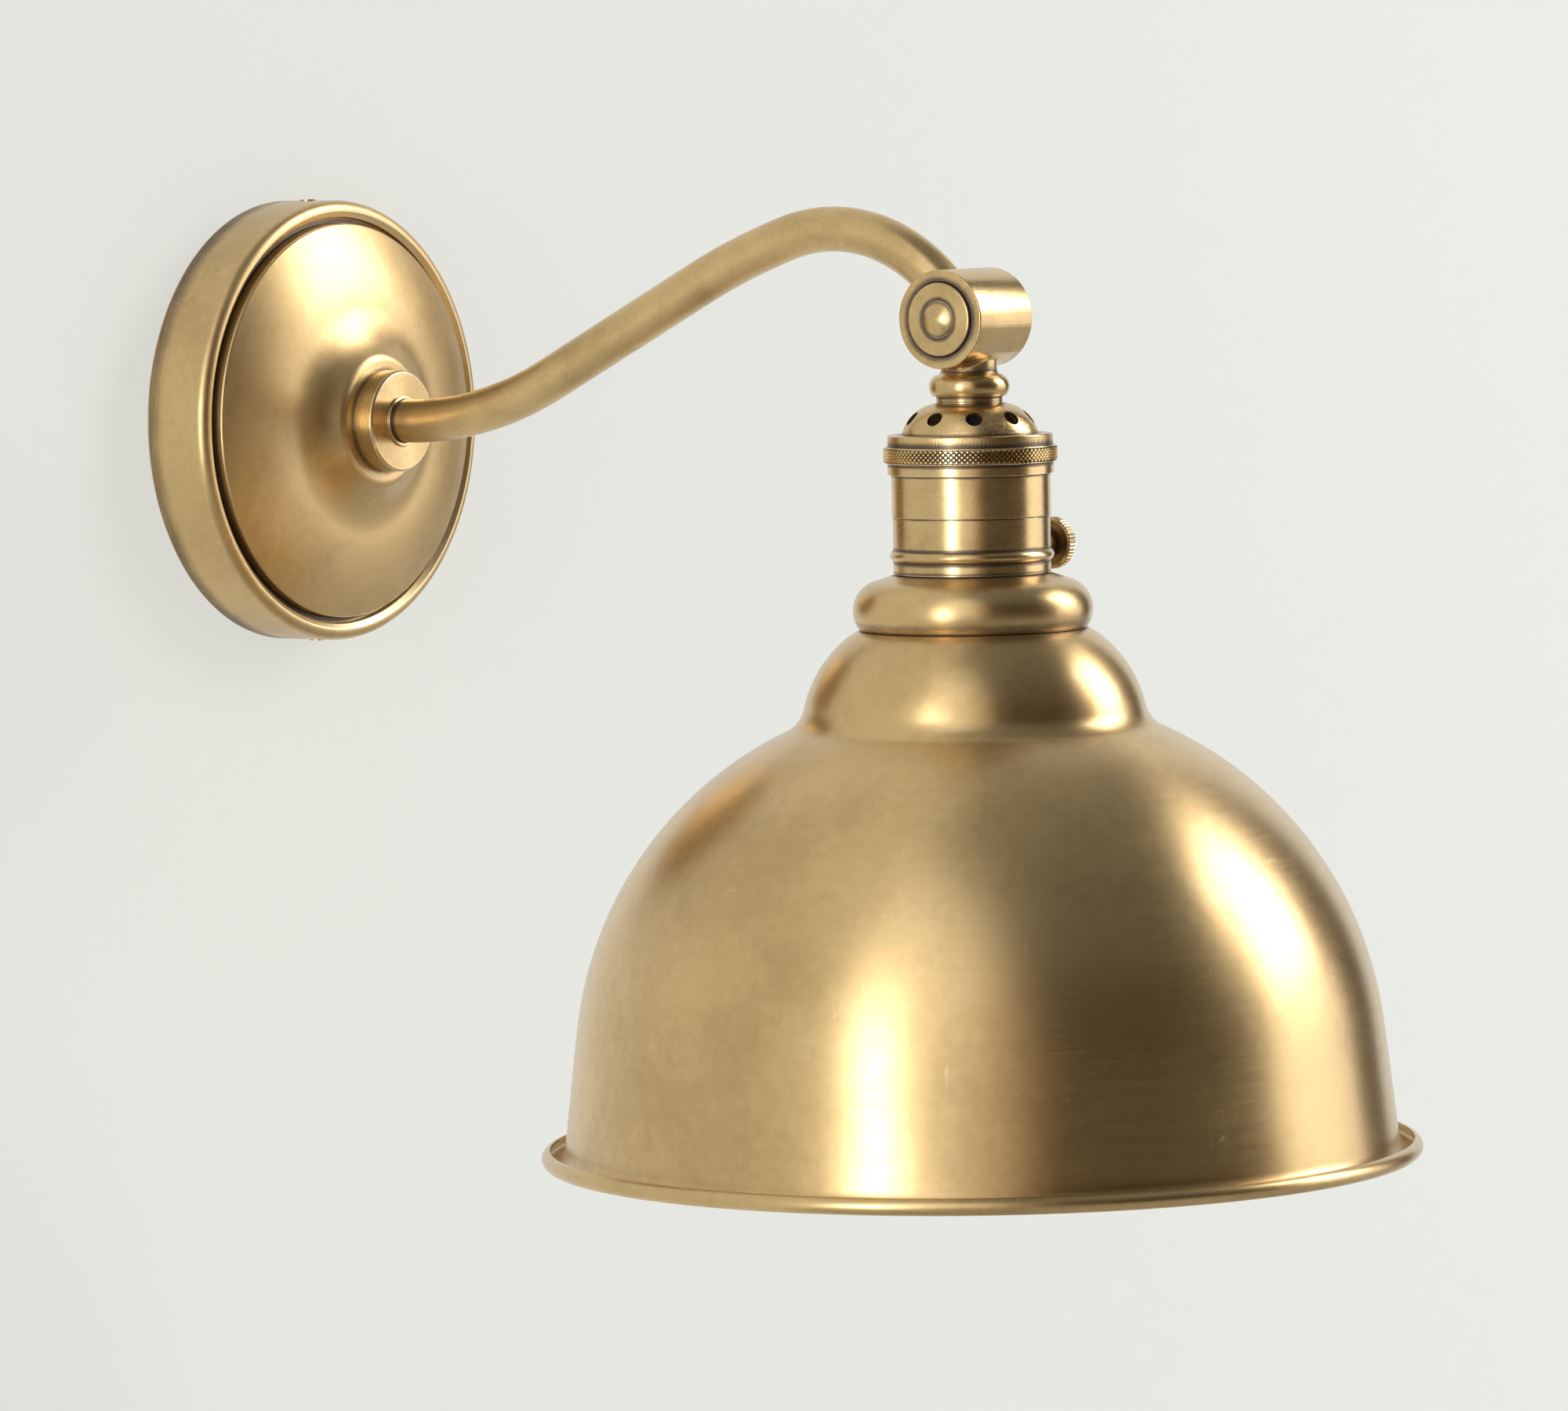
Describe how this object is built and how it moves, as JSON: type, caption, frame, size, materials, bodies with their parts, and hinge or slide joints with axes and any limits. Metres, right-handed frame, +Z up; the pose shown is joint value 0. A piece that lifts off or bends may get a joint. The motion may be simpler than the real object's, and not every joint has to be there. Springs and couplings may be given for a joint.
{
  "type": "gooseneck wall sconce",
  "caption": "Wall sconce in aged brass: round canopy, bent arm, barrel knuckle, vented screw lampholder with turn knob, and a tilting spun bell shade with a rolled rim.",
  "frame": {"origin": "middle of the canopy where it meets the wall", "axes": "+Y into the wall, so the light stands out towards -Y; +Z up; +X along the knuckle's axis, towards the turn knob"},
  "size_m": [0.216, 0.3215, 0.2365],
  "materials": {
    "aged_brass": "satin, brushed, dark patina in creases",
    "bright_brass": "plain turned",
    "zinc_steel": "zinc plated",
    "ground_green": "green dyed",
    "insulator": "glazed porcelain",
    "fibre": "vulcanised fibre"
  },
  "bodies": {
    "wall_arm": {"mounting_bracket": "zinc_steel", "ground_screw": "ground_green", "canopy": "aged_brass", "canopy_set_screws": "aged_brass", "arm_nipple": "bright_brass", "arm_lock_washer": "zinc_steel", "arm_locknut": "zinc_steel", "arm_collar": "aged_brass", "arm_tube": "aged_brass", "pivot_core": "bright_brass"},
    "shade_head": {"barrel_end_plug": "aged_brass", "bushing_nut": "aged_brass", "cap_lock_washer": "zinc_steel", "cap_locknut": "zinc_steel", "cap_nipple": "bright_brass", "centre_contact": "bright_brass", "insulating_liner": "fibre", "knuckle_barrel": "aged_brass", "knurled_ring": "aged_brass", "lamp_screw_shell": "bright_brass", "lampholder_body": "insulator", "lower_sleeve": "aged_brass", "neck_coupling": "aged_brass", "pivot_cap_disc": "aged_brass", "pivot_screw": "aged_brass", "pivot_spring_washer": "zinc_steel", "shade": "aged_brass", "shade_clamp_ring": "aged_brass", "shade_neck_ring": "aged_brass", "socket_cap": "aged_brass", "socket_shell": "aged_brass", "switch_bushing": "aged_brass", "terminal_screws": "bright_brass"},
    "knob": {"switch_spindle": "aged_brass", "turn_knob": "aged_brass"}
  },
  "joints": [
    {"name": "shade_tilt", "type": "hinge", "parent": "wall_arm", "child": "shade_head", "pos_m": [0, -0.2135, 0.0264], "axis": [1, 0, 0], "range_deg": [-5, 30]},
    {"name": "knob_turn", "type": "hinge", "parent": "shade_head", "child": "knob", "pos_m": [0, -0.2135, -0.0303], "axis": [1, 0, 0], "continuous": true}
  ]
}
